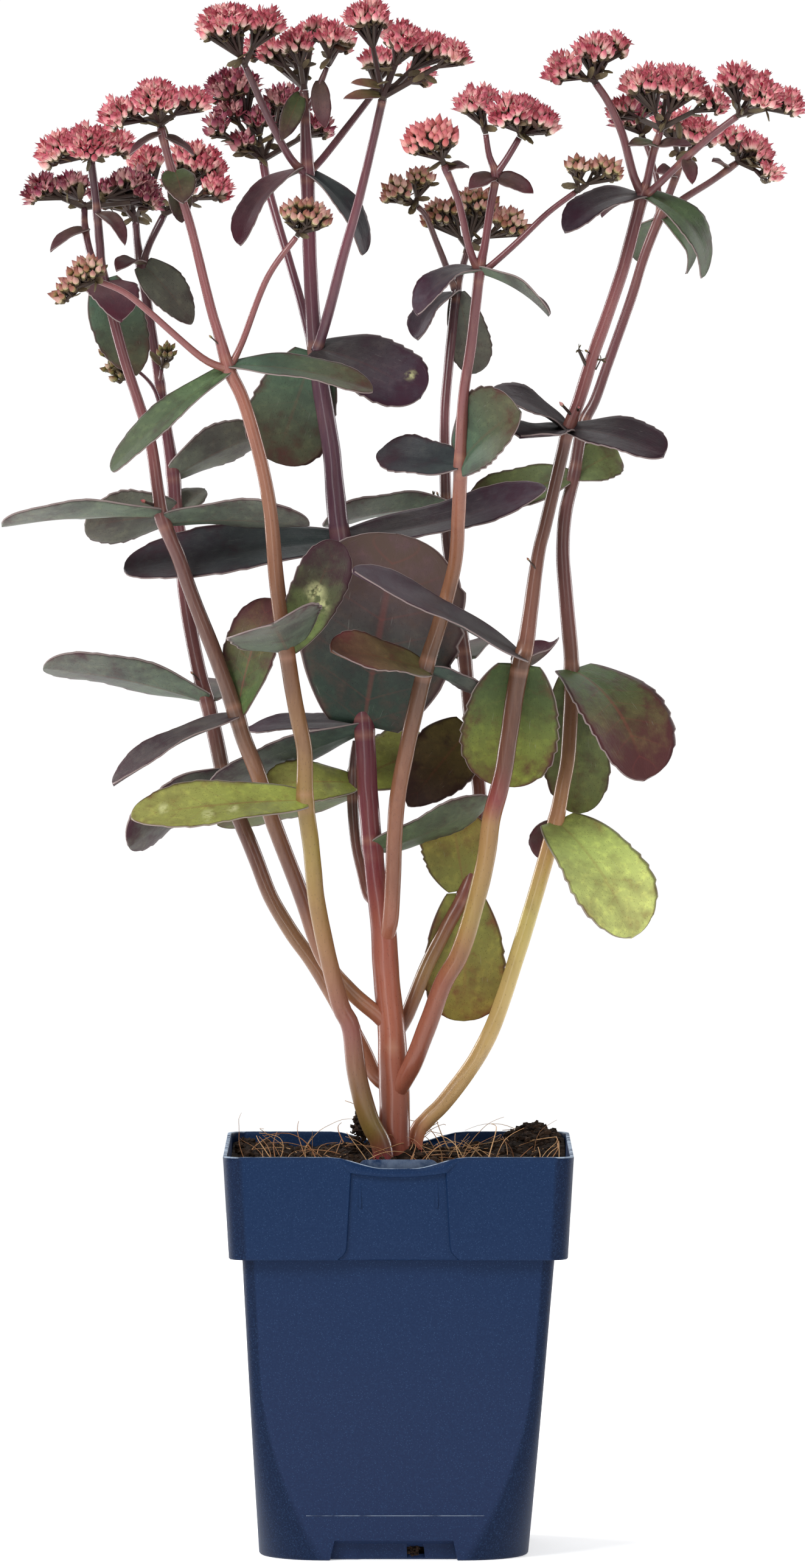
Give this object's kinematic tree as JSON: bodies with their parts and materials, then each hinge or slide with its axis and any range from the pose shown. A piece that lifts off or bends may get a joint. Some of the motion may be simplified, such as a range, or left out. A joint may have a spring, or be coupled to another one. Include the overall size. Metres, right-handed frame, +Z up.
{
  "type": "potted karfunkelstein sedum",
  "caption": "Upright stonecrop with dark fleshy leaves and flat-topped pink flower heads, in a square navy nursery pot of soil.",
  "frame": {"origin": "middle of the pot's underside, on the level it stands on", "axes": "+Z up, -Y towards the front seen in the picture, +X to the right in the picture"},
  "size_m": [0.2522, 0.1637, 0.4922],
  "materials": {
    "pot_plastic": "satin, finely grained navy",
    "soil": "dark crumbly potting soil with coir",
    "stem_and_leaf": "fleshy and matt, maroon stems and dark green to purple leaves",
    "rose_bloom": "matt rose pink florets",
    "dusky_bloom": "matt dark pink florets",
    "closed_bud": "matt buds, yellow green with pink tips",
    "rose_bud": "matt pink closed buds",
    "green_bud": "matt green buds"
  },
  "bodies": {
    "root": {"pot": "pot_plastic", "soil": "soil", "main_stem": "stem_and_leaf", "stem_front_left": "stem_and_leaf", "stem_left_back": "stem_and_leaf", "stem_left_front": "stem_and_leaf", "stem_centre": "stem_and_leaf", "stem_centre_back": "stem_and_leaf", "stem_right_front": "stem_and_leaf", "stem_right_back": "stem_and_leaf", "stem_short_back": "stem_and_leaf", "head_crown_left": "rose_bloom", "head_crown_middle": "rose_bloom", "head_crown_small": "rose_bloom", "head_crown_right": "rose_bloom", "head_crown_back": "rose_bloom", "head_back_left": "dusky_bloom", "head_left_upper": "rose_bloom", "head_left_front": "rose_bloom", "head_left_behind": "dusky_bloom", "head_left_inner": "rose_bloom", "head_left_far": "dusky_bloom", "head_bud_left": "closed_bud", "head_bud_middle": "closed_bud", "buds_green_left": "green_bud", "buds_green_right": "green_bud", "head_bud_rose": "rose_bud", "head_centre_left": "rose_bloom", "head_centre_right": "rose_bloom", "head_bud_right": "closed_bud", "head_bud_green": "closed_bud", "head_centre_back": "closed_bud", "head_right_left": "rose_bloom", "head_right_middle": "rose_bloom", "head_right_outer": "rose_bloom", "head_far_right_upper": "rose_bloom", "head_far_right_outer": "rose_bloom", "head_far_right_back": "dusky_bloom"}
  },
  "joints": []
}
